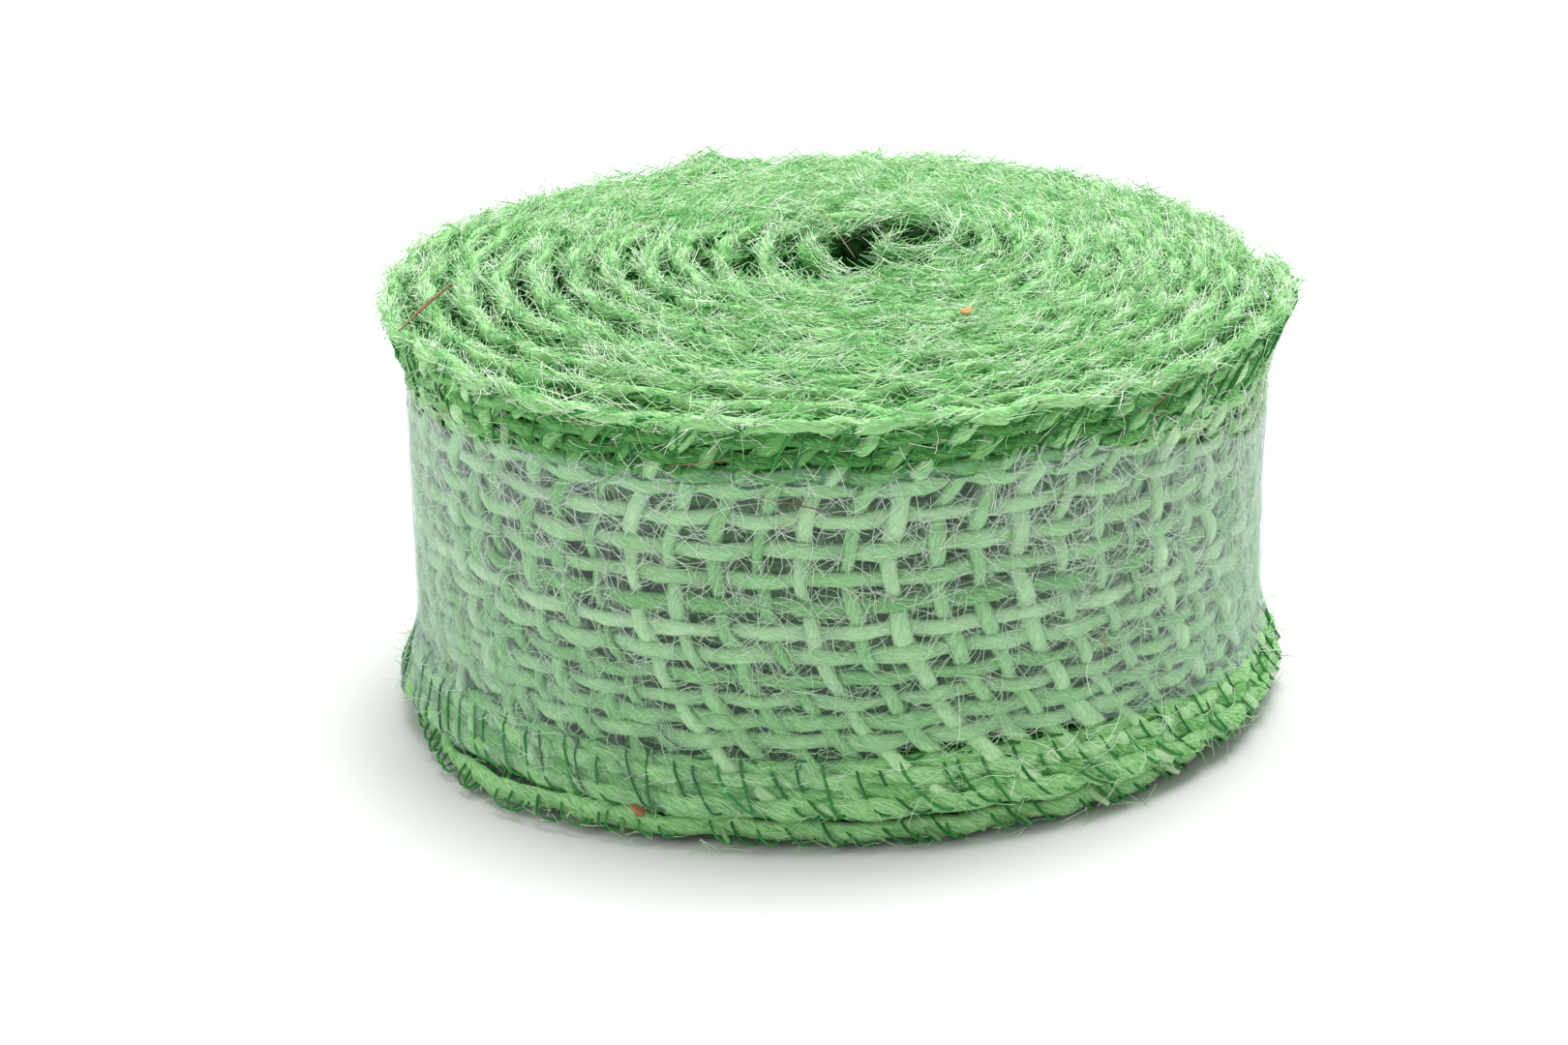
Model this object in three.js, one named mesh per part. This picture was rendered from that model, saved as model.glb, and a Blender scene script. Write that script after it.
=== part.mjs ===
// A roll of open-weave jute ribbon with overlocked edges, held shut by a band of clear stretch film.
// Millimetres, +Z up along the roll's axis. The roll stands on its lower edge, at z = 0.
import * as THREE from "three";

// Driving dimensions of the ribbon.
const RIBBON_WIDTH = 40;
const EDGE_WIDTH = 6.6; // the strip that the overlock stitch binds, along each edge
const WARPS = 11; // open warp yarns between the two bound edges
const LOWEST_WARP = 9.1; // height of the lowest one
const WARP_PITCH = 1.85; // between the two lowest; the weave opens towards the top
const WARP_PITCH_GROWTH = 0.105; // from each pitch to the next one up
const WEFT_THICKNESS = 0.45; // the weft picks, pressed flat by the winding
const YARN_THICKNESS = 0.75;
const YARN_WIDTH = 1.4;
const EDGE_THICKNESS = 1.0;
const THREAD = 0.35;
const CLEARANCE = 0.25; // left between neighbours that touch

// Driving dimensions of the winding.
const TURNS = 12.5;
const HOLE_RADIUS = 6.8; // of the cloth's inner face at the inner end
const OUTER_RADIUS = 40.2; // of the cloth's inner face at the outer end
const HOLE_OFFSET = new THREE.Vector2(5, 8); // the hole's centre from the roll's axis
const RIM_FLARE = 2.6; // how far the outer turn's edges lean out
const OUTER_END_ANGLE = THREE.MathUtils.degToRad(14);
const STEPS_PER_TURN = 16;

// Driving dimensions of the film.
const FILM_THICKNESS = 0.2;
const FILM_TOP = 33; // height of its upper margin
const FILM_BOTTOM_HIGH = 6; // its lower margin climbs and falls between these two heights
const FILM_BOTTOM_LOW = 1;
const FILM_LOW_ANGLE = THREE.MathUtils.degToRad(215);
const FILM_STEPS = 2 * STEPS_PER_TURN;
const BRIDGE_STEPS = 4; // steps over which the film slopes down behind the ribbon's outer end

// Derived values.
const STEP = (2 * Math.PI) / STEPS_PER_TURN;
const STEPS = Math.round(TURNS * STEPS_PER_TURN);
const GROUND_LOW = EDGE_WIDTH + CLEARANCE;
const GROUND_HIGH = RIBBON_WIDTH - EDGE_WIDTH - CLEARANCE;
const WARP_INNER = WEFT_THICKNESS + CLEARANCE;
const WARP_OUTER = WARP_INNER + YARN_THICKNESS;

const jute = new THREE.MeshStandardMaterial({ color: 0x8fcf85, roughness: 0.95, metalness: 0 });
const juteShade = new THREE.MeshStandardMaterial({ color: 0x79b870, roughness: 0.95, metalness: 0 });
const thread = new THREE.MeshStandardMaterial({ color: 0x2f7d3c, roughness: 0.7, metalness: 0 });
const film = new THREE.MeshStandardMaterial({
  color: 0xe8f2ee,
  roughness: 0.15,
  metalness: 0,
  transparent: true,
  opacity: 0.25,
});

const part = new THREE.Group();

// How far the cloth leans out at height z, as a share of the full flare.
function flareShare(z) {
  const fromEdge = Math.min(z, RIBBON_WIDTH - z);
  return Math.max(0, 1 - fromEdge / GROUND_LOW);
}

// Radius of the cloth's inner face at a winding step (0 at the inner end) and height.
function clothRadius(step, z) {
  const share = step / STEPS;
  return THREE.MathUtils.lerp(HOLE_RADIUS, OUTER_RADIUS, share) + RIM_FLARE * flareShare(z) * share;
}

function stepAngle(step) {
  return OUTER_END_ANGLE - (STEPS - step) * STEP;
}

// A point of the winding, `out` mm outside the cloth's inner face. The turns' centres drift from
// the hole's centre to the roll's axis, so the hole is off centre and the outside is round.
function woundPoint(step, out, z) {
  const centre = HOLE_OFFSET.clone().multiplyScalar(1 - step / STEPS);
  const radius = clothRadius(step, z) + out;
  const angle = stepAngle(step);
  return [centre.x + radius * Math.cos(angle), centre.y + radius * Math.sin(angle), z];
}

// A closed body from rings of points. The rings join into a loop, or the two ends are capped.
// A ring goes up one side of the section and down the other, and both sides are cut along the
// same diagonals, so that a thin twisted wall never crosses itself.
function skin(rings, looped) {
  const size = rings[0].length;
  const index = [];
  const spans = looped ? rings.length : rings.length - 1;
  for (let i = 0; i < spans; i++) {
    const a = i * size;
    const b = ((i + 1) % rings.length) * size;
    for (let j = 0; j < size; j++) {
      const next = (j + 1) % size;
      if (j < size / 2) {
        index.push(a + j, b + next, a + next, a + j, b + j, b + next);
      } else {
        index.push(a + j, b + j, a + next, a + next, b + j, b + next);
      }
    }
  }
  if (!looped) {
    const last = (rings.length - 1) * size;
    for (let j = 1; j < size - 1; j++) {
      index.push(0, j, j + 1, last, last + j + 1, last + j);
    }
  }
  const geometry = new THREE.BufferGeometry();
  geometry.setAttribute("position", new THREE.Float32BufferAttribute(rings.flat(2), 3));
  geometry.setIndex(index);
  const faceted = geometry.toNonIndexed();
  faceted.computeVertexNormals();
  return faceted;
}

function addMesh(name, geometry, material) {
  const mesh = new THREE.Mesh(geometry, material);
  mesh.name = name;
  part.add(mesh);
}

// A body of one section wound from the ribbon's inner end to its outer end.
// The section lists [out, z] corners, anticlockwise with `out` to the right and z up.
function addWound(name, section, material) {
  const rings = [];
  for (let step = 0; step <= STEPS; step++) {
    rings.push(section.map(([out, z]) => woundPoint(step, out, z)));
  }
  addMesh(name, skin(rings, false), material);
}

function box(outLow, outHigh, zLow, zHigh) {
  return [
    [outLow, zLow],
    [outHigh, zLow],
    [outHigh, zHigh],
    [outLow, zHigh],
  ];
}

// A strand lying on the face at `out`, with its ridge outwards.
function strand(out, z, width, thickness) {
  return [
    [out, z - width / 2],
    [out + thickness, z],
    [out, z + width / 2],
  ];
}

// The weft picks stand side by side across the whole length: one thin wound web stands for them.
addWound("weft_web", box(0, WEFT_THICKNESS, GROUND_LOW, GROUND_HIGH), juteShade);

for (let i = 0; i < WARPS; i++) {
  const z = LOWEST_WARP + i * WARP_PITCH + (WARP_PITCH_GROWTH * i * (i - 1)) / 2;
  const name = "warp_yarn_" + String(i + 1).padStart(2, "0");
  addWound(name, strand(WARP_INNER, z, YARN_WIDTH, YARN_THICKNESS), jute);
}

// Each edge is a cord of bundled warps, with a row of needle thread along the ground's border and
// a looper thread along the outside of the cord.
function addEdge(name, edge, inward) {
  const heights = [edge, edge + inward * EDGE_WIDTH].sort((a, b) => a - b);
  addWound(name + "_edge_cord", box(0, EDGE_THICKNESS, ...heights), jute);
  const face = EDGE_THICKNESS + CLEARANCE;
  const threads = { needle: 0.86 * EDGE_WIDTH, looper: 0.35 * EDGE_WIDTH };
  for (const [kind, fromEdge] of Object.entries(threads)) {
    const section = strand(face, edge + inward * fromEdge, 2 * THREAD, THREAD);
    addWound(name + "_" + kind + "_thread", section, thread);
  }
}
addEdge("lower", 0, 1);
addEdge("upper", RIBBON_WIDTH, -1);

// The film hugs the outer turn and bridges the step behind the ribbon's outer end.
function filmPoint(i, out, z) {
  const fromEnd = (i * STEPS_PER_TURN) / FILM_STEPS;
  const step = STEPS - STEPS_PER_TURN + fromEnd;
  const low = Math.floor(step);
  const high = Math.ceil(step);
  const a = woundPoint(low, WARP_OUTER + CLEARANCE + out, z);
  const b = woundPoint(high, WARP_OUTER + CLEARANCE + out, z);
  const point = new THREE.Vector2((a[0] + b[0]) / 2, (a[1] + b[1]) / 2);
  const layer = (OUTER_RADIUS - HOLE_RADIUS) / TURNS;
  const sag = low === high ? 0 : 0.5 * OUTER_RADIUS * (1 - Math.cos(STEP / 2));
  const lift = sag + layer * Math.max(0, 1 - fromEnd / BRIDGE_STEPS);
  point.setLength(point.length() + lift);
  return [point.x, point.y, z];
}

function addFilm() {
  const rings = [];
  for (let i = 0; i < FILM_STEPS; i++) {
    const angle = stepAngle(STEPS - STEPS_PER_TURN + (i * STEPS_PER_TURN) / FILM_STEPS);
    const climb = (1 + Math.cos(angle - FILM_LOW_ANGLE)) / 2;
    const bottom = THREE.MathUtils.lerp(FILM_BOTTOM_HIGH, FILM_BOTTOM_LOW, climb);
    rings.push([
      filmPoint(i, 0, bottom),
      filmPoint(i, FILM_THICKNESS, bottom),
      filmPoint(i, FILM_THICKNESS, GROUND_LOW),
      filmPoint(i, FILM_THICKNESS, FILM_TOP),
      filmPoint(i, 0, FILM_TOP),
      filmPoint(i, 0, GROUND_LOW),
    ]);
  }
  addMesh("film_band", skin(rings, true), film);
}
addFilm();

// The origin is the middle of the underside.
const bounds = new THREE.Box3().setFromObject(part);
const middle = bounds.getCenter(new THREE.Vector3());
for (const mesh of part.children) {
  mesh.geometry.translate(-middle.x, -middle.y, -bounds.min.z);
}

export default part;
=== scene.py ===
import math

import bpy
import numpy as np
from mathutils import Matrix, Vector


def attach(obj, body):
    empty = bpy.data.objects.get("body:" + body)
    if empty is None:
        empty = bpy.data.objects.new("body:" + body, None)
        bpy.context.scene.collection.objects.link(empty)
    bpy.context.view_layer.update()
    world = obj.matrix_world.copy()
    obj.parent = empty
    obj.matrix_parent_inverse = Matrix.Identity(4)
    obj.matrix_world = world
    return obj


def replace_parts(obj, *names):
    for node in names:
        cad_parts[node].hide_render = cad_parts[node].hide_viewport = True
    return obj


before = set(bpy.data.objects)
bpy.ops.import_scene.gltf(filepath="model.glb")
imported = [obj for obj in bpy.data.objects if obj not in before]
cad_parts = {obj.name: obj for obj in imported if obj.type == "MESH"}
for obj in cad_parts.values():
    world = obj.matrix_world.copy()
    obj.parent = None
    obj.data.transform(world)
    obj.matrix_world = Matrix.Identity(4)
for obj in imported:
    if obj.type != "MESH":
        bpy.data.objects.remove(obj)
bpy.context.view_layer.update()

# A roll of open-weave jute ribbon with overlocked edges, held shut by a band of clear stretch film.
# Lengths are in millimetres until a mesh is made, and the roll stands on z = 0.
MM = 0.001
TAU = 2 * math.pi

# ---------------------------------------------------------------- dimensions
RIBBON_WIDTH = 40.0
TURNS = 12.5
HOLE_RADIUS = 7.2  # middle of the cloth at the inner end
OUTER_RADIUS = 40.4  # middle of the cloth at the outer end
HOLE_OFFSET = np.array([7.2, 10.2])  # the hole's centre from the roll's axis
ROLL_AXIS = np.array([-0.6, 0.6])  # the roll's axis in the frame
OUTER_END = math.radians(14)
FRONT = math.radians(273)
FRONT_TURN = 0.29  # the front of the outer turn, in turns from the outer end
FLOOR_GAP = 0.03  # nothing reaches lower than this

# The edges' shape. A reach is how far along the ribbon, in mm or in turns, a shape fades out.
RIM_FLARE = 2.5
FLARE_DEPTH = 9.0  # how far down from an edge the flare starts
FLARE_NEAR_END = 0.55  # the upper edge's share of the flare at the outer end
HOLE_LEAN = 3.0  # how far the innermost upper edge leans into the hole
LEANING = 0.26  # the share of the ribbon, from its inner end, that leans so
UPPER_RISE = 0.8  # how far the loosened upper edges stand up
UPPER_RISE_START = 26  # the height above which they do
UPPER_BUMPS = 0.4
UPPER_SINK = 1.0  # height that the outer turn's upper edge loses by leaning out
LOWER_RISE = 0.6  # how far its lower edge is drawn up all round
FRONT_RISE = 2.3  # and how much further at the front
RAISED_REACH = 0.33
TUCK_SINK = 0.25  # how far the second turn's edge sinks below it there
TUCK_PUSH = 3.2  # and how far it is pushed out
TUCK_DEPTH = 5.0  # up to this height
TUCK_REACH = 0.28
SKIRT_TURN = 0.12  # it is pushed out further to the left: turns from the front
SKIRT_PUSH = 3.6
SKIRT_DEPTH = 3.0
SKIRT_REACH = 0.075
LOWEST_EDGE = 0.5  # mean height of the turns' lower edges
UNEVENNESS = 0.4  # how far each stretch of a turn sits high or low
WAVINESS = 0.16  # the same, in and out
END_REACH = 34  # the ribbon's stretch that its outer end disturbs
END_CORNER = 2.2  # how far the outer end's top corner leans away
END_CORNER_START = 22  # the height where that begins
END_DROP = 2.2  # how far that corner hangs down
END_DROP_START = 24
END_CURL = 4.6  # how far the inner end curls into the hole
CURL_REACH = 17
HOLLOW = (-3.0, 1.5)  # a gap between the turns in front of the hole: its x and y
HOLLOW_SIZE = (7, 2.6)
HOLLOW_DEPTH = 2.2
LUMP = (-12.6, 38.6)  # a raised tuft on the back of the upper rim
LUMP_SIZE = (2.8, 2.5)
LUMP_HEIGHT = 1.5

WARPS = 11
LOWEST_WARP = 9.1
WARP_PITCH_LOW = 1.85  # the warps are closer together near the lower edge
WARP_PITCH_STEP = 0.105
WEFT_PITCH = 3.9
WEFT_BOW_LOW = 0.022  # per mm: how fast the weft leans away below its upright height
WEFT_BOW_HIGH = 0.046  # and above it
WEFT_UPRIGHT = 26.0
YARN_WIDTH = 1.38
YARN_THICKNESS = 0.8
WAVE = 0.36  # the weave's rise and fall through the cloth
TWIST = 0.55  # radians per mm along a yarn
ROUGHNESS = 0.07  # share of its thickness that a yarn's fibres stand out by
EDGE_ROUGHNESS = 0.11

EDGE_WARPS = (1.2, 2.9, 4.6, 6.2)  # heights of the bundled warps from the ribbon's edge
UPPER_EDGE_WARPS = (0.9, 2.7, 4.5, 6.3)  # the same, where the upper edge is worked loose
EDGE_YARN_WIDTH = 1.95
UPPER_EDGE_YARN_WIDTH = 1.3
EDGE_YARN_THICKNESS = 1.15
THREAD = 0.27
THREAD_TWIST = 1.2
STITCH_PITCH = 2.3
STITCH_DEPTH = 7.2
STITCH_SLANT = 3.6  # how far along the ribbon one stitch leans

# Mesh detail: the length in mm between a yarn's cross-sections, and the corners of each.
OUTER_WARP_STEP = 0.55
OUTER_WEFT_STEP = 0.5
OUTER_SIDES = 8
INNER_WARP_STEP = 1.6
INNER_WEFT_STEP = 2.05
INNER_SIDES = 5
EDGE_STEP = 1.0
EDGE_SIDES = 7
THREAD_SIDES = 4
HAIR_SIDES = 3
HAIR_RINGS = 4  # cross-sections along a hair

BARED_HALF_ANGLE = math.radians(32)  # round the front, where the upper edge has little fuzz
SHADED_HALF_ANGLE = math.radians(56)  # and where its yarns are darkened with painted shade
SHADE_FADE = math.radians(24)
HOLE_SHADE = 1.3  # painted shade: how much darker the yarns are made in the hole, in steps of a yarn's own tint
EDGE_SHADE = 0.58  # and the painted shade at the front of the upper edge, below its topmost yarn
WEFT_SHADE = 1.3  # how much more of both painted shades the weft takes
PATCH_SHADE = 2.2  # the same steps for the darkest patches of fuzz

FILM_THICKNESS = 0.06
TIP_ANGLE = 10  # degrees: the loose corner of the film
TIP_HEIGHT = 40.6
TIP_LIFT = 3.3
BRIDGE = math.radians(34)  # how far the film takes to come down behind the ribbon's outer end

rng = np.random.default_rng(20)


# ---------------------------------------------------------------- shapes of the winding
def wobble(x, seed, scale, octaves=4):
    """Smooth noise of about unit size along x, with features of about scale."""
    phases = np.random.default_rng(seed).uniform(0, TAU, (octaves, 2))
    total = np.zeros_like(np.asarray(x, float))
    for k in range(octaves):
        rate = TAU / scale * 1.73**k
        total += (np.sin(x * rate + phases[k, 0]) + np.sin(x * rate * 1.31 + phases[k, 1])) / 1.5**k
    return total / 3.0


def flare(z):
    """How far the cloth leans out at height z, from 0 to 1 at each edge."""
    from_edge = np.clip(np.minimum(z, RIBBON_WIDTH - z), 0, FLARE_DEPTH)
    return (1 - from_edge / FLARE_DEPTH) ** 1.4


def bell(x):
    return np.exp(-(x**2))


def mound(x, y, place, size):
    """A round bump of unit height at a place seen from above."""
    return np.exp(-(((x - place[0]) / size[0]) ** 2) - ((y - place[1]) / size[1]) ** 2)


def rise_above(start, z):
    """From 0 at a starting height to 1 at the ribbon's upper edge."""
    return np.clip((z - start) / (RIBBON_WIDTH - start), 0, 1)


def winding_angle(length):
    """Angle round the roll, negative inwards from the outer end, at a length from the inner end."""
    return np.interp(length, LENGTHS, ANGLES)


def wound(length, z, out):
    """Points of the wound cloth: length along the ribbon, height z, and out from its middle."""
    length, z, out = np.broadcast_arrays(length, z, out)
    angle = winding_angle(length)
    beyond = np.clip(length - LENGTHS[-1], 0, None)
    angle = angle + beyond / OUTER_RADIUS
    share = 1 + angle / (TAU * TURNS)
    near_end = np.clip(1 - (LENGTHS[-1] - length) / END_REACH, 0, 1.1)
    upper_half = z > RIBBON_WIDTH / 2
    turns_in = -angle / TAU - FRONT_TURN
    tucked = bell((turns_in - 1) / TUCK_REACH)

    radius = HOLE_RADIUS + (OUTER_RADIUS - HOLE_RADIUS) * share
    lean = RIM_FLARE * share * np.where(upper_half, 1 - (1 - FLARE_NEAR_END) * near_end, 1)
    lean = lean - np.where(upper_half, HOLE_LEAN * np.clip(1 - share / LEANING, 0, 1), 0)
    radius = radius + lean * flare(z) + out + WAVINESS * wobble(length, 3, 37)
    radius = radius + END_CORNER * near_end * rise_above(END_CORNER_START, z)
    radius = radius - END_CURL * np.clip(1 - length / CURL_REACH, 0, 1) ** 1.3
    radius = radius + TUCK_PUSH * tucked * np.clip(1 - z / TUCK_DEPTH, 0, 1)
    skirt = SKIRT_PUSH * bell((turns_in - 1 - SKIRT_TURN) / SKIRT_REACH)
    radius = radius + skirt * np.clip(1.25 - z / SKIRT_DEPTH, 0, 1)

    centre = HOLE_OFFSET[:, None] * (1 - share).reshape(1, -1)
    turned = angle + OUTER_END
    x = centre[0].reshape(share.shape) + radius * np.cos(turned) + ROLL_AXIS[0]
    y = centre[1].reshape(share.shape) + radius * np.sin(turned) + ROLL_AXIS[1]

    raised = bell(turns_in / RAISED_REACH)
    drawn_up = LOWER_RISE * share**5 + FRONT_RISE * raised - TUCK_SINK * tucked
    drawn_in = np.where(upper_half, -UPPER_SINK * share**5, drawn_up) * flare(z)
    drop = END_DROP * near_end**3 * rise_above(END_DROP_START, z) ** 1.5
    hollow = HOLLOW_DEPTH * mound(x, y, HOLLOW, HOLLOW_SIZE)
    lump = LUMP_HEIGHT * mound(x, y, LUMP, LUMP_SIZE)
    bumps = UPPER_BUMPS * share**2 * wobble(length, 9, 12, 3)
    risen = rise_above(UPPER_RISE_START, z) * (UPPER_RISE + lump + bumps - hollow)
    height = z + turn_lift(length) + drawn_in + risen - drop
    return np.stack([x, y, height], axis=-1)


def turn_lift(length):
    """The turns don't line up exactly: each stretch of the ribbon sits a little high or low."""
    return LOWEST_EDGE + UNEVENNESS * wobble(length, 5, 71, 3)


def lengths_at(angles):
    """Lengths along the spiral, from its inner end, at closely spaced angles."""
    radius = HOLE_RADIUS + (OUTER_RADIUS - HOLE_RADIUS) * (1 + angles / (TAU * TURNS))
    return np.concatenate([[0], np.cumsum((radius[1:] + radius[:-1]) / 2 * np.diff(angles))])


ANGLES = np.linspace(-TAU * TURNS, 0, 4000)
LENGTHS = lengths_at(ANGLES)
LENGTH = LENGTHS[-1]
OUTER_TURN = LENGTH - TAU * OUTER_RADIUS * 1.15  # where the well seen outer stretch begins


def weft_shift(z):
    """The weft yarns are bowed: this is how far along the ribbon one sits at height z."""
    return np.where(z > WEFT_UPRIGHT, WEFT_BOW_HIGH, WEFT_BOW_LOW) * (z - WEFT_UPRIGHT) ** 2


def outer_length(angle):
    """The length along the ribbon at an angle round the roll, on the outer turn."""
    return np.interp((angle - OUTER_END) % TAU - TAU, ANGLES, LENGTHS)


WARP_Z = LOWEST_WARP + np.array(
    [i * WARP_PITCH_LOW + WARP_PITCH_STEP * i * (i - 1) / 2 for i in range(WARPS)]
)
ALL_WARP_Z = np.concatenate([EDGE_WARPS, WARP_Z, RIBBON_WIDTH - np.array(UPPER_EDGE_WARPS)[::-1]])


# ---------------------------------------------------------------- meshes
def strands(points, across, outward, width, thickness, sides, twist=0.0, rough=0.0, seed=0):
    """Closed tubes of an oval section along rows of points, as a dict of arrays.

    points, across and outward are (strands, rings, 3); width and thickness broadcast to
    (strands, rings). fibre is a coordinate that turns with the yarn's own twist."""
    count, rings, _ = points.shape
    width = np.broadcast_to(width, (count, rings))[..., None]
    thickness = np.broadcast_to(thickness, (count, rings))[..., None]
    turn = np.arange(sides) / sides * TAU
    steps = np.linalg.norm(np.diff(points, axis=1), axis=2)
    along = np.concatenate([np.zeros((count, 1)), np.cumsum(steps, axis=1)], axis=1)[..., None]
    local = np.random.default_rng(seed)
    start = local.uniform(0, 1000, (count, 1, 1))
    fibre_angle = turn - twist * (along + start)
    bumps = 1 + rough * (
        0.6 * np.sin(3 * fibre_angle + 0.9 * np.sin(0.7 * (along + start)))
        + 0.5 * np.sin(2 * fibre_angle + 1.9 * (along + start))
        + 0.5 * np.sin(5 * fibre_angle - 1.3 * (along + start))
    )
    sideways = np.cos(turn) * bumps * width / 2
    outwards = np.sin(turn) * bumps * thickness / 2
    vertices = (
        points[:, :, None, :]
        + sideways[..., None] * across[:, :, None, :]
        + outwards[..., None] * outward[:, :, None, :]
    )
    fibre = np.stack(
        [np.cos(fibre_angle), np.sin(fibre_angle), np.broadcast_to(along + start, fibre_angle.shape)],
        axis=-1,
    )
    grid = np.arange(count * rings * sides).reshape(count, rings, sides)
    after = np.roll(grid, -1, axis=2)
    quads = np.stack([grid[:, :-1], after[:, :-1], after[:, 1:], grid[:, 1:]], axis=-1)
    caps = np.concatenate([grid[:, 0, ::-1], grid[:, -1]])
    tint = np.broadcast_to(local.uniform(0, 1, (count, 1, 1)), (count, rings, sides))
    return {
        "vertices": vertices.reshape(-1, 3),
        "quads": quads.reshape(-1, 4),
        "caps": caps,
        "fibre": fibre.reshape(-1, 3),
        "tint": tint.reshape(-1),
    }


def make_piece(name, parts, material):
    """One object from several strands() results, riding on the frame."""
    vertices = np.concatenate([p["vertices"] for p in parts])
    vertices[:, 2] = np.maximum(vertices[:, 2], FLOOR_GAP)
    vertices = vertices * MM
    corners, sizes, base = [], [], 0
    for p in parts:
        for faces in (p["quads"], p["caps"]):
            corners.append((faces + base).reshape(-1))
            sizes.append(np.full(len(faces), faces.shape[1]))
        base += len(p["vertices"])
    corners = np.concatenate(corners).astype(np.int32)
    sizes = np.concatenate(sizes)
    starts = np.concatenate([[0], np.cumsum(sizes)[:-1]]).astype(np.int32)
    mesh = bpy.data.meshes.new(name)
    mesh.vertices.add(len(vertices))
    mesh.vertices.foreach_set("co", vertices.astype(np.float32).ravel())
    mesh.loops.add(len(corners))
    mesh.loops.foreach_set("vertex_index", corners)
    mesh.polygons.add(len(starts))
    mesh.polygons.foreach_set("loop_start", starts)
    mesh.update(calc_edges=True)
    mesh.polygons.foreach_set("use_smooth", np.ones(len(starts), bool))
    for attribute, kind, field in (("fibre", "FLOAT_VECTOR", "vector"), ("tint", "FLOAT", "value")):
        values = np.concatenate([p[attribute] for p in parts]).astype(np.float32)
        mesh.attributes.new(attribute, kind, "POINT").data.foreach_set(field, values.ravel())
    mesh.materials.append(material)
    piece = bpy.data.objects.new(name, mesh)
    bpy.context.scene.collection.objects.link(piece)
    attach(piece, "root")
    return piece


def unit(v):
    return v / np.maximum(np.linalg.norm(v, axis=-1, keepdims=True), 1e-9)


def frames(points, outward):
    """Directions across and out of strands that run along rows of points."""
    tangent = unit(np.gradient(points, axis=1))
    across = unit(np.cross(outward, tangent))
    return across, unit(np.cross(tangent, across))


def facing(length, z):
    """The cloth's outward direction at a place along the ribbon."""
    return unit(wound(length, z, 1.0) - wound(length, z, 0.0))


def fibres(roots, directions, lengths, curl, radius, seed):
    """Fine tapering hairs that start at roots and bend sideways as they go."""
    local = np.random.default_rng(seed)
    count = len(roots)
    side = unit(np.cross(directions, unit(local.normal(size=(count, 3)))))
    t = np.linspace(0, 1, HAIR_RINGS)[None, :, None]
    lengths = np.asarray(lengths)[:, None, None]
    bend = curl * local.uniform(-1, 1, (count, 1, 1))
    points = roots[:, None, :] + lengths * (t * directions[:, None, :] + bend * t**2 * side[:, None, :])
    across, outward = frames(points, np.broadcast_to(side[:, None, :], points.shape))
    width = 2 * radius * (1 - 0.55 * t[..., 0])
    return strands(points, across, outward, width, width, HAIR_SIDES, seed=seed)


# ---------------------------------------------------------------- materials
def srgb(r, g, b):
    """A linear colour from 0-255 display values."""
    return tuple((((c / 255) + 0.055) / 1.055) ** 2.4 if c > 10 else c / 255 / 12.92 for c in (r, g, b))


def new_material(name, colour, roughness):
    material = bpy.data.materials.new(name)
    material.use_nodes = True
    shader = material.node_tree.nodes["Principled BSDF"]
    shader.inputs["Base Color"].default_value = (*srgb(*colour), 1)
    shader.inputs["Roughness"].default_value = roughness
    shader.inputs["Specular IOR Level"].default_value = 0.25
    return material, material.node_tree, shader


def add_node(tree, kind, **inputs):
    node = tree.nodes.new(kind)
    for name, value in inputs.items():
        node.inputs[name.replace("_", " ")].default_value = value
    return node


def yarn_material(name, dark, middle, pale, streaks=7.0, roughness=0.95, relief=0.0002):
    """Dyed jute: streaks of paler and darker fibre that follow the yarn's twist."""
    material, tree, shader = new_material(name, middle, roughness)
    link = tree.links.new
    fibre = tree.nodes.new("ShaderNodeAttribute")
    fibre.attribute_name = "fibre"
    scaled = tree.nodes.new("ShaderNodeMapping")
    scaled.inputs["Scale"].default_value = (1.0, 1.0, 0.16)
    link(fibre.outputs["Vector"], scaled.inputs["Vector"])
    noise = add_node(tree, "ShaderNodeTexNoise", Scale=streaks, Detail=4.0, Roughness=0.65)
    link(scaled.outputs["Vector"], noise.inputs["Vector"])
    tint = tree.nodes.new("ShaderNodeAttribute")
    tint.attribute_name = "tint"
    mixed = tree.nodes.new("ShaderNodeMath")
    mixed.operation = "MULTIPLY_ADD"
    mixed.inputs[1].default_value = 0.28
    link(tint.outputs["Fac"], mixed.inputs[0])
    link(noise.outputs["Fac"], mixed.inputs[2])
    ramp = tree.nodes.new("ShaderNodeValToRGB")
    ramp.color_ramp.elements[0].position = 0.42
    ramp.color_ramp.elements[0].color = (*srgb(*dark), 1)
    ramp.color_ramp.elements[1].position = 0.86
    ramp.color_ramp.elements[1].color = (*srgb(*pale), 1)
    centre = ramp.color_ramp.elements.new(0.62)
    centre.color = (*srgb(*middle), 1)
    link(mixed.outputs[0], ramp.inputs["Fac"])
    link(ramp.outputs["Color"], shader.inputs["Base Color"])
    bump = add_node(tree, "ShaderNodeBump", Strength=0.6, Distance=relief)
    link(noise.outputs["Fac"], bump.inputs["Height"])
    link(bump.outputs["Normal"], shader.inputs["Normal"])
    return material


def fine_material(name, middle, spread, roughness=0.8, darkening=(1, 1, 1)):
    """The same for single fibres, threads and scraps: spread sets how much their colour varies,
    and darkening how much of that red, green and blue each take where it is darker."""
    dark = [c * (1 - spread * share) for c, share in zip(middle, darkening)]
    pale = [min(255, c * (1 + 0.8 * spread)) for c in middle]
    return yarn_material(name, dark, middle, pale, 4.0, roughness, 0.00003)


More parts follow.
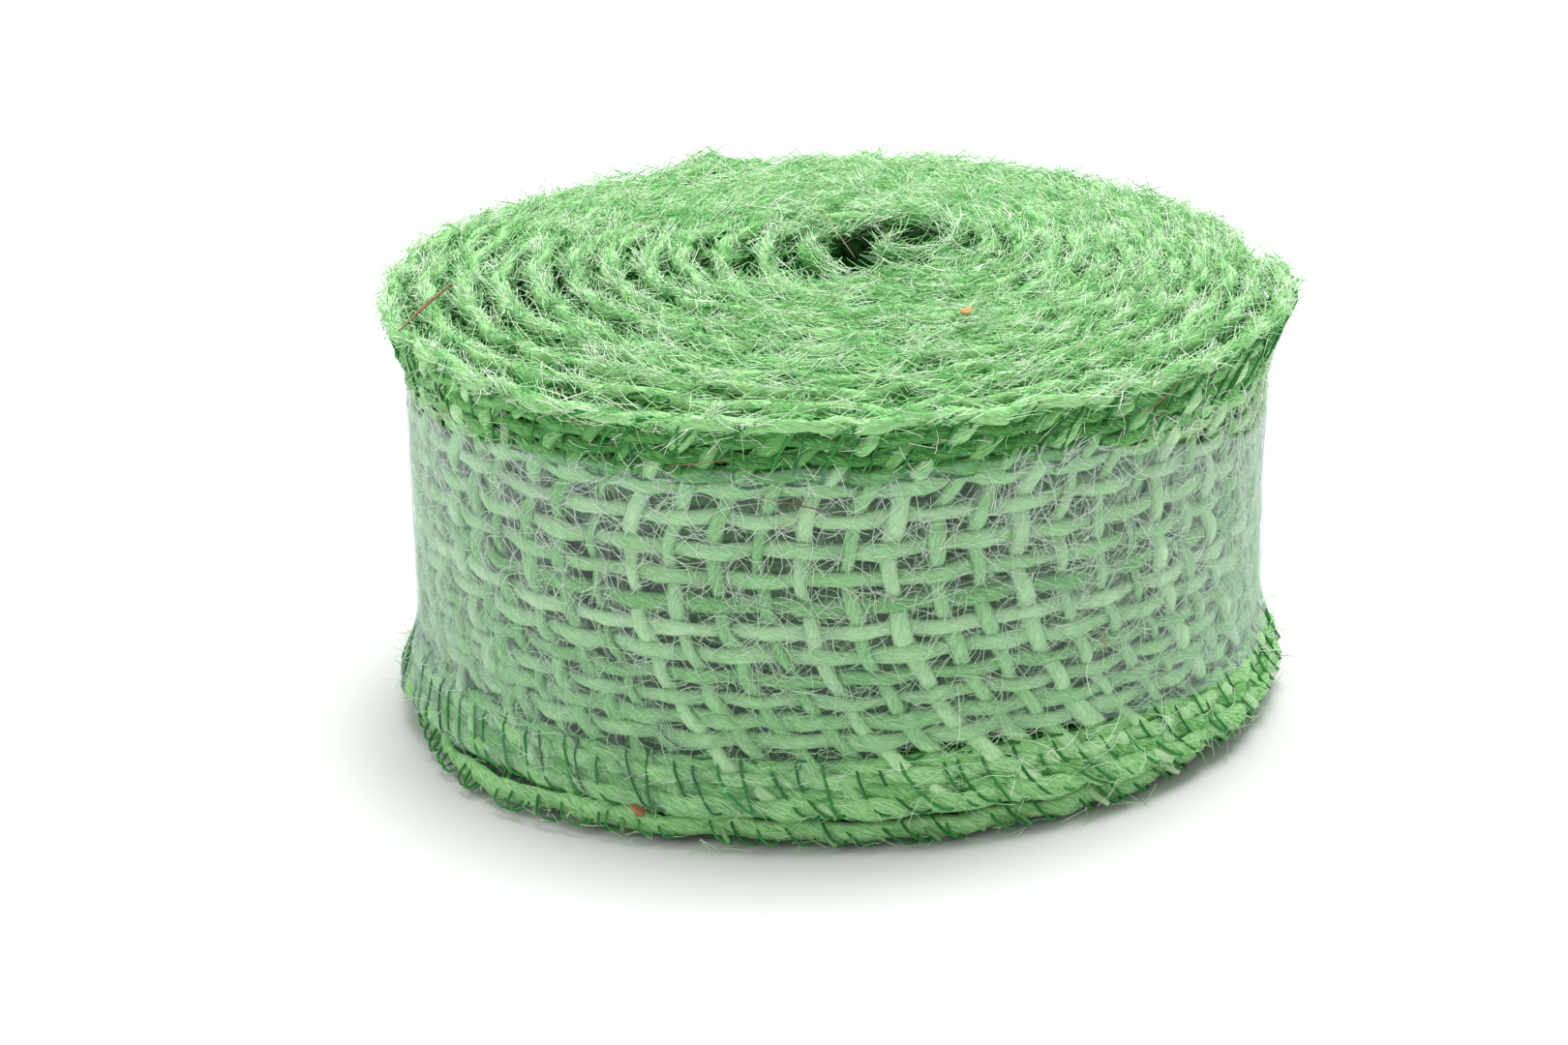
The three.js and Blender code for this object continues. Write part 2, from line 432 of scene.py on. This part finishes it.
def film_material():
    """Clear stretch film: see-through, a little milky, and glossier the more it turns away."""
    material, tree, shader = new_material("stretch_film", (214, 226, 228), 0.28)
    link = tree.links.new
    noise = add_node(tree, "ShaderNodeTexNoise", Scale=240.0, Detail=2.0)
    bump = add_node(tree, "ShaderNodeBump", Strength=0.25, Distance=0.0003)
    link(noise.outputs["Fac"], bump.inputs["Height"])
    link(bump.outputs["Normal"], shader.inputs["Normal"])
    clear = add_node(tree, "ShaderNodeBsdfTransparent", Color=(0.975, 0.985, 0.985, 1))
    gloss = add_node(tree, "ShaderNodeLayerWeight", Blend=0.12)
    milk = tree.nodes.new("ShaderNodeMath")
    milk.operation = "MULTIPLY_ADD"
    milk.inputs[1].default_value = 0.5
    milk.inputs[2].default_value = 0.02
    link(gloss.outputs["Facing"], milk.inputs[0])
    mix = tree.nodes.new("ShaderNodeMixShader")
    link(milk.outputs[0], mix.inputs["Fac"])
    link(clear.outputs[0], mix.inputs[1])
    link(shader.outputs[0], mix.inputs[2])
    link(mix.outputs[0], tree.nodes["Material Output"].inputs["Surface"])
    return material


YARN = yarn_material("jute_yarn", (96, 158, 86), (158, 212, 146), (206, 240, 192))
# The inner turns: the same jute in darker colours, painted shade for turns that lie in shadow inside the
# roll.
SHADED_INNER_YARN = yarn_material("jute_yarn_inner_shaded", (66, 118, 64), (116, 174, 110), (164, 212, 152))
EDGE_YARN = yarn_material("jute_edge_yarn", (66, 130, 60), (134, 196, 122), (196, 236, 180))
# The upper edge: the edge yarn in darker colours, painted shade for the front of the upper edge.
SHADED_UPPER_EDGE_YARN = yarn_material(
    "jute_upper_edge_yarn_shaded", (52, 112, 48), (116, 182, 106), (180, 228, 164)
)
THREAD_GREEN = fine_material("overlock_thread", (50, 126, 60), 0.28, 0.6)
HAIR_COLOURS = {
    "pale": (224, 248, 214),
    "soft": (211, 246, 199),
    "mid": (193, 237, 181),
    "deep": (124, 192, 114),
}
DEEPER_GREEN = (1.3, 0.55, 1.3)
HAIR = {
    tone: fine_material("jute_fibre_" + tone, colour, 0.26, 0.8, DEEPER_GREEN)
    for tone, colour in HAIR_COLOURS.items()
}
STRAW = fine_material("brown_straw", (108, 78, 56), 0.4, 0.7)
BARK = fine_material("orange_bark", (184, 134, 86), 0.3, 0.85)
TAN = fine_material("tan_fibre", (180, 168, 124), 0.2, 0.7)
RED = fine_material("reddish_fibre", (156, 122, 92), 0.3, 0.7)


# ---------------------------------------------------------------- the woven ground
def from_front(length):
    """Angle between a place along the ribbon and the front of the roll."""
    turned = winding_angle(length) + OUTER_END
    return abs((turned - FRONT + math.pi) % TAU - math.pi)


def bared(length, turns):
    """True where the front of the outermost turns shows its edge yarns, with little fuzz on them."""
    return (winding_angle(length) > -TAU * turns) & (from_front(length) < BARED_HALF_ANGLE)


def shade(length, z):
    """How much painted shade darkens the yarns: in the hole, and at the front of the outermost upper
    edges, below the topmost yarn.
    """
    # painted shade in the hole, fading out along the ribbon
    in_hole = np.clip(1.4 - length / 75, 0, 1)
    # painted shade at the front of the outermost upper edges, under the topmost yarn
    at_front = np.clip((SHADED_HALF_ANGLE - from_front(length)) / SHADE_FADE, 0, 1)
    outermost = np.clip(2.4 + winding_angle(length) / TAU, 0, 1)
    below_top = np.clip((z - 32) / 4, 0, 1) * np.clip((39.2 - z) / 0.8, 0, 1)
    return HOLE_SHADE * in_hole + EDGE_SHADE * at_front * outermost * below_top


def warp(z, low, high, step, sides, width, thickness, seed, rough=ROUGHNESS):
    """One warp yarn, which rises over and dips under the weft yarns."""
    length = np.arange(low, high, step)
    index = int(np.argmin(abs(ALL_WARP_Z - z)))
    phase = math.pi * ((length - weft_shift(z)) / WEFT_PITCH + index)
    height = z + 0.22 * wobble(length, seed, 19)
    out = WAVE * np.cos(phase)
    points = wound(length, height, out)[None]
    outward = facing(length, z)[None]
    across, out_dir = frames(points, outward)
    slub = np.random.default_rng(seed).uniform(0.86, 1.14) * (1 + 0.2 * wobble(length, seed + 50, 13))
    yarn = strands(points, across, out_dir, width * slub, thickness * slub, sides, TWIST, rough, seed)
    # painted shade: the yarn is darkened in the hole and at the front of the upper edge
    yarn["tint"] = yarn["tint"] - np.repeat(shade(length, z), sides)
    return yarn


def wefts(first, last, step, sides, seed):
    """The weft yarns from pick first to pick last, each crossing the whole ribbon."""
    picks = np.arange(first, last)
    local = np.random.default_rng(seed)
    z = np.arange(0.3, RIBBON_WIDTH - 0.3, step)[None, :]
    jitter = local.normal(0, 0.22, (len(picks), 1))
    lean = local.normal(0, 0.012, (len(picks), 1)) * (z - 20)
    ripple = 0.16 * np.sin(z * 0.9 + local.uniform(0, TAU, (len(picks), 1)))
    length = picks[:, None] * WEFT_PITCH + weft_shift(z) + jitter + lean + ripple
    length = np.clip(length, 0.5, LENGTH + 1)
    row = np.interp(z, ALL_WARP_Z, np.arange(len(ALL_WARP_Z)))
    out = -WAVE * np.cos(math.pi * (row + picks[:, None]))
    points = wound(length, z, out)
    across, outward = frames(points, facing(length, z))
    slub = np.clip(local.normal(1, 0.17, (len(picks), 1)), 0.62, 1.35)
    slub = slub * (1 + 0.14 * np.sin(z * 0.6 + local.uniform(0, TAU, (len(picks), 1))))
    slub = slub * np.clip(0.3 + 0.25 * np.minimum(z, RIBBON_WIDTH - z), 0, 1)
    width, thickness = YARN_WIDTH * slub, YARN_THICKNESS * slub
    yarns = strands(points, across, outward, width, thickness, sides, TWIST, ROUGHNESS, seed)
    # painted shade, stronger on the weft
    yarns["tint"] = yarns["tint"] - np.repeat(WEFT_SHADE * shade(length, z), sides)
    return yarns


def first_pick(length):
    return int(math.ceil(length / WEFT_PITCH))


PICK_END = first_pick(LENGTH - weft_shift(0.0) - 1)
PICK_OUTER = first_pick(OUTER_TURN - weft_shift(0.0))


def build_ground():
    """The open weave, as one piece for the outer turn and a coarser one for all the inner turns, whose
    darker yarn is painted shade.
    """
    size = (YARN_WIDTH, YARN_THICKNESS)
    outer = []
    for i, z in enumerate(WARP_Z):
        end = LENGTH + 2 + rng.uniform(-1, 2)
        outer.append(warp(z, OUTER_TURN, end, OUTER_WARP_STEP, OUTER_SIDES, *size, 100 + i))
    outer.append(wefts(PICK_OUTER, PICK_END, OUTER_WEFT_STEP, OUTER_SIDES, 7))
    inner = []
    for i, z in enumerate(WARP_Z):
        start = 1.0 + rng.uniform(0, 2)
        inner.append(warp(z, start, OUTER_TURN, INNER_WARP_STEP, INNER_SIDES, *size, 200 + i))
    inner.append(wefts(1, PICK_OUTER, INNER_WEFT_STEP, INNER_SIDES, 8))
    outer_piece = make_piece("ribbon_outer_turn", outer, YARN)
    # the inner turns' darker yarn is painted shade
    inner_piece = make_piece("ribbon_inner_turns", inner, SHADED_INNER_YARN)
    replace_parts(inner_piece, "weft_web")
    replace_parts(outer_piece, *[f"warp_yarn_{i + 1:02d}" for i in range(WARPS)])
    return outer_piece, inner_piece


# ---------------------------------------------------------------- the overlocked edges
def build_edge(name, upper):
    """The bundled warps of one edge."""
    cords = []
    size = (UPPER_EDGE_YARN_WIDTH if upper else EDGE_YARN_WIDTH, EDGE_YARN_THICKNESS)
    for i, from_edge in enumerate(UPPER_EDGE_WARPS if upper else EDGE_WARPS):
        z = RIBBON_WIDTH - from_edge if upper else from_edge
        end = LENGTH + rng.uniform(0, 2)
        seed = 300 + i + 10 * upper
        cords.append(warp(z, 1.0, end, EDGE_STEP, EDGE_SIDES, *size, seed, EDGE_ROUGHNESS))
    # the upper edge's darker yarn is painted shade
    material = SHADED_UPPER_EDGE_YARN if upper else EDGE_YARN
    piece = make_piece(name + "_edge_yarns", cords, material)
    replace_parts(piece, name + "_edge_cord")
    return piece


def stitch_path(upper):
    """The looper thread: up the outer face at a slant, over the edge and down the inner face."""
    count = int(LENGTH / STITCH_PITCH) - 2
    t = np.linspace(0, 1, 21)
    reach = EDGE_YARN_THICKNESS / 2 + WAVE * (0.4 if upper else 0.9)
    round_edge = math.pi * np.clip((t - 0.36) / 0.28, 0, 1)
    over = np.interp(t, [0, 0.36, 0.64, 1], [STITCH_DEPTH, 1.3, 1.3, STITCH_DEPTH])
    over = over - (0.7 if upper else 1.1) * np.sin(round_edge)
    out = reach * np.cos(round_edge) * np.interp(t, [0, 0.08, 0.92, 1], [0.35, 1, 1, 0.35])
    local = np.random.default_rng(11 + upper)
    start = (np.arange(count) + 0.8)[:, None] * STITCH_PITCH + local.normal(0, 0.35, (count, 1))
    slant = STITCH_SLANT * (1 + local.normal(0, 0.45 if upper else 0.2, (count, 1)))
    run = np.interp(t, [0, 0.12, 0.25, 0.38, 0.5, 0.9, 1], [0, 0.08, 0.30, 0.62, 1, 1.2, 1.25])
    uneven = 0.7 * local.normal(0, 1, (count, 1))
    from_edge = over + uneven * np.clip(over / STITCH_DEPTH - 0.2, 0, 1)
    sag = 0.35 * np.sin(math.pi * 2 * t + local.uniform(0, TAU, (count, 1))) * np.sin(math.pi * t)
    length = np.clip(start + slant * run + sag, 0.5, LENGTH)
    loose = np.clip(1 - (LENGTH - length) / 48, 0, 1) * upper
    depth = local.uniform(0.75 if upper else 0.93, 1.05, (count, 1))
    depth = depth + 0.1 * np.sin(t * 9 + local.uniform(0, TAU, (count, 1)))
    depth = depth * np.clip(0.45 + start / 200, 0, 1)
    puff = loose * (0.9 * np.sin(math.pi * t) * local.uniform(0, 1.4, (count, 1)))
    z = RIBBON_WIDTH - from_edge if upper else from_edge
    return wound(length, z + 1.3 * loose * sag, out * depth + puff), facing(length, z)


def build_threads(name, upper):
    """The loops of looper thread over one edge, and a row of needle thread on each face."""
    points, outward = stitch_path(upper)
    across, out_dir = frames(points, outward)
    section = (THREAD, THREAD, THREAD_SIDES, THREAD_TWIST)
    loops = strands(points, across, out_dir, *section, seed=21 + upper)
    length = np.arange(1.0, LENGTH, 0.8)
    z = RIBBON_WIDTH - STITCH_DEPTH if upper else STITCH_DEPTH
    z = z + 0.35 * wobble(length, 61 + upper, 6, 2)
    rows = []
    for side in (1, -1):
        out = side * (0.25 + 0.42 * np.cos(length * TAU / STITCH_PITCH / 2))
        line = wound(length, z, out)[None]
        across, out_dir = frames(line, facing(length, z)[None])
        rows.append(strands(line, across, out_dir, *section, seed=31))
    piece = make_piece(name + "_overlock", [loops] + rows, THREAD_GREEN)
    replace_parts(piece, name + "_needle_thread", name + "_looper_thread")
    return piece


# ---------------------------------------------------------------- fuzz
def local_axes(length, z, out):
    """The directions along the ribbon and outwards at places on it."""
    here = wound(length, z, out)
    along = unit(wound(length + 0.5, z, out) - here)
    return here, along, unit(wound(length, z, out + 0.5) - here)


def patchy(hairs, length):
    """The same hairs, darker in patches along the ribbon."""
    tone = PATCH_SHADE * np.clip(wobble(length, 71, 11), 0, None)
    hairs["tint"] = hairs["tint"] - np.repeat(tone, len(hairs["tint"]) // len(length))
    return hairs


def edge_tufts(upper, per_pick, lengths, radius, seed):
    """The cut weft ends: each frays into a small brush beyond the last warp. Two layers of one
    edge share each brush's aim and size, and differ by their own seed."""
    local = np.random.default_rng(seed)
    shape = np.random.default_rng(77 + upper)
    aims = shape.normal(0, 1, (PICK_END, 3)) * [1.0, 0.42, 0.5]
    size = shape.uniform(0.45, 1.4, PICK_END)
    kept = shape.uniform(0, 1, PICK_END)
    size = size * np.where(kept > 0.9, 1.35, 1.0) * np.clip(0.45 + np.arange(PICK_END) / 45, 0, 1)
    picks = np.repeat(np.arange(1, PICK_END), per_pick)
    z = RIBBON_WIDTH - 0.8 if upper else 1.1
    length = np.clip(picks * WEFT_PITCH + weft_shift(z), 1, LENGTH)
    aims[:, 1] -= np.clip(1 - np.arange(PICK_END) / 30, 0, 1)  # those round the hole lean into it
    shown = ~bared(length, 3.4) | (kept[picks] < 0.26) if upper else np.ones(len(picks), bool)
    picks, length = picks[shown], length[shown] + local.normal(0, 0.6, shown.sum())
    roots, along, outward = local_axes(length, np.full(len(picks), z), local.normal(0, 0.42, len(picks)))
    spread = local.normal(0, 0.3, (len(picks), 3)) + aims[picks]
    direction = along * spread[:, :1] + outward * spread[:, 1:2]
    direction[:, 2] += (1 if upper else -1) * (0.12 + 0.7 * abs(spread[:, 2]))
    reach = local.uniform(*lengths, len(picks)) * size[picks]
    return patchy(fibres(roots, unit(direction), reach, 0.8, radius, seed=seed), length)


def rim_mat(count, seed):
    """Fibres that lie matted along the tops of the turns."""
    local = np.random.default_rng(seed)
    length = local.uniform(2, LENGTH, count)
    length = length[~bared(length, 1.4) | (local.uniform(0, 1, count) < 0.5)]
    count = len(length)
    z = RIBBON_WIDTH + local.uniform(-1.9, 0.25, count)
    roots, along, outward = local_axes(length, z, local.normal(0, 0.5, count))
    direction = along * local.choice([-1, 1], (count, 1)) + outward * local.normal(0, 0.3, (count, 1))
    direction[:, 2] += local.normal(0.12, 0.24, count)
    reach = local.uniform(1.0, 3.6, count)
    return patchy(fibres(roots, unit(direction), reach, 0.5, 0.055, seed=seed), length)


def edge_fuzz(upper, count, lengths, seed, low=0.0):
    """Loose fibres all over the bundled edge yarns of every turn from a share of its length on."""
    local = np.random.default_rng(seed)
    length = local.uniform(max(2, low * LENGTH), LENGTH, count)
    if upper:
        length = length[~bared(length, 1.4) | (local.uniform(0, 1, count) < 0.6)]
        count = len(length)
    from_edge = local.uniform(0.0, 7.0, count)
    z = RIBBON_WIDTH - from_edge if upper else from_edge
    roots, along, outward = local_axes(length, z, local.normal(0.2, 0.5, count))
    direction = along * local.choice([-1, 1], (count, 1)) + local.normal(0, 0.4, (count, 3))
    return fibres(roots, unit(direction), local.uniform(*lengths, count), 0.7, 0.045, seed=seed)


def face_fuzz(count, seed, lean, lengths, depth):
    """Fibres pressed flat under the film on the outer turn; lean spreads them from the warp's way."""
    local = np.random.default_rng(seed)
    length = local.uniform(LENGTH - TAU * OUTER_RADIUS, LENGTH - 3, count)
    z = local.uniform(6, 34, count)
    near = WARP_Z[np.abs(WARP_Z[:, None] - z).argmin(axis=0)] + local.normal(0, 0.6, count)
    z = np.where(local.uniform(0, 1, count) < 0.6, near, z)
    heading = local.normal(0, lean, count) + local.choice([0, math.pi], count)
    reach = local.uniform(*lengths, count)
    bend = local.normal(0, 0.8, count)
    t = np.linspace(0, 1, 6)[None, :]
    turned = heading[:, None] + bend[:, None] * t
    along = length[:, None] + reach[:, None] * t * np.cos(turned)
    up = z[:, None] + reach[:, None] * t * np.sin(turned)
    out = local.uniform(*depth, (count, 1))
    out = out + 0.2 * np.sin(t * math.pi * local.uniform(1, 2.5, (count, 1)))
    points = wound(along, up, np.minimum(out, 0.86))
    across, outward = frames(points, facing(along, up))
    width = 0.09 * (1 - 0.5 * t)
    return strands(points, across, outward, width, width, HAIR_SIDES, seed=seed)


def build_fuzz():
    for name, tone, hairs in (
        ("upper_tufts_pale", "pale", edge_tufts(True, 19, (0.8, 2.0), 0.055, 41)),
        ("upper_tufts_mid", "soft", edge_tufts(True, 18, (0.7, 1.8), 0.06, 42)),
        ("upper_mat_pale", "pale", rim_mat(9500, 51)),
        ("upper_mat_mid", "mid", rim_mat(9800, 52)),
        ("upper_mat_soft", "soft", rim_mat(9800, 54)),
        ("upper_mat_deep", "deep", rim_mat(5000, 53)),
        ("upper_fuzz_pale", "pale", edge_fuzz(True, 7000, (0.8, 2.8), 43, 0.3)),
        ("upper_fuzz_deep", "deep", edge_fuzz(True, 4000, (0.8, 2.2), 44)),
        ("lower_tufts", "mid", edge_tufts(False, 12, (0.4, 1.0), 0.055, 45)),
        ("lower_fuzz", "pale", edge_fuzz(False, 7000, (1.0, 3.2), 46, 0.5)),
        ("face_fibres_pale", "pale", face_fuzz(6000, 47, 0.9, (1.5, 6.5), (0.3, 0.8))),
        ("face_fibres_deep", "mid", face_fuzz(3500, 48, 0.5, (1.0, 4.0), (-0.4, 0.5))),
    ):
        make_piece(name, [hairs], HAIR[tone])


# ---------------------------------------------------------------- strays caught on the roll
def stray(route, width, seed, sides=4, rough=0.0):
    """One stray fibre or straw, smoothed through a few places and thin at both ends."""
    route = np.asarray(route, float)
    t = np.linspace(0, len(route) - 1, 7 * len(route))
    points = np.stack([np.interp(t, np.arange(len(route)), route[:, k]) for k in range(3)], axis=1)
    for _ in range(8):
        points[1:-1] = (points[:-2] + 2 * points[1:-1] + points[2:]) / 4
    points = points[None]
    across, outward = frames(points, np.broadcast_to([0.1, 0.3, 1.0], points.shape))
    width = width * (1 - 0.6 * abs(2 * t / t[-1] - 1))
    return strands(points, across, outward, width, width * 0.8, sides, 0.0, rough, seed)


def flake(place, along, size, seed):
    """A small flat scrap of bark."""
    along = unit(np.asarray(along, float))
    t = np.linspace(-1, 1, 7)
    points = (np.asarray(place, float) + size * t[:, None] * along)[None]
    across, outward = frames(points, np.broadcast_to([0.2, -0.6, 0.8], points.shape))
    width = size * 1.3 * np.sqrt(np.clip(1.05 - t**2, 0, 1)) * (1 + 0.2 * np.sin(5 * t))
    return strands(points, across, outward, width, 0.25 * size, 6, 0.0, 0.16, seed)


def on_face(degrees, z, out):
    """A place on the outer turn at an angle round the roll."""
    return wound(outer_length(math.radians(degrees)), z, out)


def hanging_hairs():
    """Pale fibres worked loose from the lower edge, where it is bare of film."""
    local = np.random.default_rng(91)
    hairs = []
    for i in range(26):
        degrees, z = local.uniform(278, 322), local.uniform(3, 10)
        heading, reach = local.uniform(0, TAU), local.uniform(1.2, 2.6)
        route = []
        for k in range(4):
            out = 1.0 + 0.9 * math.sin(math.pi * k / 3) * local.uniform(0.3, 1.4)
            route.append(on_face(degrees, max(z, 0.6), out))
            degrees += math.degrees(reach * math.cos(heading) / OUTER_RADIUS)
            z += reach * math.sin(heading)
            heading += local.normal(0, 0.9)
        hairs.append(stray(route, 0.1, 900 + i, HAIR_SIDES))
    return hairs


def build_strays():
    hair_over_hole = stray([(-1.6, 13, 45.5), (0.0, 7.6, 43.8), (2.4, 1.2, 41.9)], 0.14, 81)
    straw = stray([(-38.9, -16.8, 41.3), (-36.9, -11.6, 42.1), (-34.8, -6.6, 42.6)], 0.42, 82, 6, 0.1)
    scraps = [
        flake(on_face(246, 0.7, 1.5), (1, -0.3, -0.8), 0.8, 83),
        flake((12.2, -16.6, 42.0), (1, 0.1, 0.1), 0.62, 84),
    ]
    reds = [
        stray([on_face(a, z, 0.95) for a, z in ((311, 36), (314, 37.4), (317, 39))], 0.22, 85),
        stray([on_face(a, z, 0.9) for a, z in ((262, 31.8), (267, 31), (272, 30.2))], 0.16, 86),
        stray([on_face(a, z, 0.9) for a, z in ((305, 17), (306, 15.6), (306.5, 14.6))], 0.22, 87),
        stray([on_face(a, z, 0.9) for a, z in ((250, 34.6), (255, 35), (259, 36))], 0.12, 88),
    ]
    make_piece("tan_hair", [hair_over_hole], TAN)
    make_piece("brown_straw", [straw], STRAW)
    make_piece("bark_scraps", scraps, BARK)
    make_piece("reddish_fibres", reds, RED)
    make_piece("hanging_hairs", hanging_hairs(), HAIR["pale"])


# ---------------------------------------------------------------- the film
def film_margins(angle):
    """Heights of the film's lower and upper margins at each angle round the roll."""
    degrees = np.degrees(angle) % 360
    low_at = [0, 90, 165, 190, 262, 276, 290, 330, 360]
    low = np.interp(degrees, low_at, [6.2, 5, 3, 0.9, 0.9, 9.0, 8.6, 6.4, 6.2])
    high_at = [0, 30, 90, 180, 225, 270, 305, 335, 360]
    high = np.interp(degrees, high_at, [29, 31, 33, 30, 33, 34.9, 33.5, 29, 29])
    ripple = 0.35 * np.sin(5 * angle) + 0.25 * np.sin(11 * angle + 1) + 0.15 * np.sin(23 * angle)
    return low + ripple * 0.8, high + ripple


def build_film():
    """A band of film round the outer turn, with a loose corner over the ribbon's outer end."""
    around, tall = 420, 44
    angle = np.linspace(0, TAU, around, endpoint=False)
    share = np.linspace(0, 1, tall)
    bottom, top = film_margins(angle)
    from_tip = (np.degrees(angle) - TIP_ANGLE + 180) % 360 - 180
    tip = np.clip(1 - abs(from_tip) / np.where(from_tip > 0, 4, 9), 0, 1)
    top = top + (TIP_HEIGHT - top) * tip
    length = outer_length(angle)
    bridge = np.clip(1 - ((angle - OUTER_END) % TAU) / BRIDGE, 0, 1) ** 1.5
    z = bottom[:, None] + (top - bottom)[:, None] * share[None, :]
    lift = bridge[:, None] * (OUTER_RADIUS - HOLE_RADIUS) / TURNS
    lift = lift + TIP_LIFT * tip[:, None] * np.clip((z - 29) / 9, 0, 1)
    turn = angle[:, None]
    wrinkle = 0.10 * np.sin(turn * 47 + 0.4 * z) + 0.06 * np.sin(turn * 91 - 0.7 * z)
    clear = YARN_THICKNESS / 2 + WAVE + 0.16
    along = np.broadcast_to(length[:, None], z.shape)
    inner = wound(along, z, clear + lift + wrinkle)
    outer = wound(along, z, clear + lift + wrinkle + FILM_THICKNESS)
    ring = np.concatenate([inner, outer[:, ::-1]], axis=1)
    size = ring.shape[1]
    grid = np.arange(around * size).reshape(around, size)
    after = np.roll(grid, -1, axis=0)
    quads = np.stack([grid, after, np.roll(after, -1, axis=1), np.roll(grid, -1, axis=1)], axis=-1)
    part = {
        "vertices": ring.reshape(-1, 3),
        "quads": quads.reshape(-1, 4)[:, ::-1],
        "caps": np.zeros((0, 3), int),
        "fibre": ring.reshape(-1, 3),
        "tint": np.zeros(around * size),
    }
    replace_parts(make_piece("film", [part], film_material()), "film_band")


# ---------------------------------------------------------------- studio
def build_studio():
    """A pale floor under an even white sky, a soft lamp above and a weak one at the front left."""
    world = bpy.data.worlds.new("studio")
    bpy.context.scene.world = world
    world.use_nodes = True
    background = world.node_tree.nodes["Background"]
    background.inputs["Color"].default_value = (1, 1, 1, 1)
    background.inputs["Strength"].default_value = 0.6
    floor_mesh = bpy.data.meshes.new("floor")
    half = 3.0
    corners = [(-half, -half, 0), (half, -half, 0), (half, half, 0), (-half, half, 0)]
    floor_mesh.from_pydata(corners, [], [(0, 1, 2, 3)])
    floor = bpy.data.objects.new("floor", floor_mesh)
    floor.location.z = -0.0001
    floor_mesh.materials.append(new_material("floor", (226, 227, 226), 0.9)[0])
    bpy.context.scene.collection.objects.link(floor)
    aim = Vector((0, 0, RIBBON_WIDTH / 2 * MM))
    for name, place, power, size in (
        ("top", (0.15, 0.3, 1.2), 24, 0.9),
        ("side", (-0.7, -0.5, 0.6), 1.5, 0.4),
    ):
        data = bpy.data.lights.new(name, "AREA")
        data.energy = power
        data.size = size
        light = bpy.data.objects.new(name, data)
        light.location = place
        light.rotation_euler = (aim - Vector(place)).to_track_quat("-Z", "Y").to_euler()
        bpy.context.scene.collection.objects.link(light)
    bpy.context.scene.view_settings.view_transform = "Standard"


def build_camera():
    """A long lens, a little above the roll, which stands right of and above the picture's middle."""
    distance, elevation, roll = 0.3947, math.radians(19.6), math.radians(1.19)
    right_of_middle, above_middle = 0.0106, 0.0103  # tangents of the roll's place in the picture
    forward = Vector((0, math.cos(elevation), -math.sin(elevation)))
    up = Vector((0, math.sin(elevation), math.cos(elevation)))
    right = Vector((1, 0, 0))
    tilted_right = right * math.cos(roll) - up * math.sin(roll)
    tilted_up = up * math.cos(roll) + right * math.sin(roll)
    centre = Vector((ROLL_AXIS[0] * MM, ROLL_AXIS[1] * MM, RIBBON_WIDTH / 2 * MM))
    axis = (forward - right_of_middle * tilted_right - above_middle * tilted_up).normalized()
    side = axis.cross(tilted_up).normalized()
    turned = Matrix((side, side.cross(axis), -axis)).transposed()
    data = bpy.data.cameras.new("camera")
    data.lens = 94.7
    data.sensor_width = 36
    camera = bpy.data.objects.new("camera", data)
    camera.matrix_world = Matrix.Translation(centre - distance * forward) @ turned.to_4x4()
    bpy.context.scene.collection.objects.link(camera)
    bpy.context.scene.camera = camera


build_studio()
build_camera()
outer_turn, inner_turns = build_ground()
edging = [outer_turn, build_edge("lower", False), build_edge("upper", True)]
edging += [build_threads("lower", False), build_threads("upper", True)]
build_fuzz()
build_strays()
build_film()
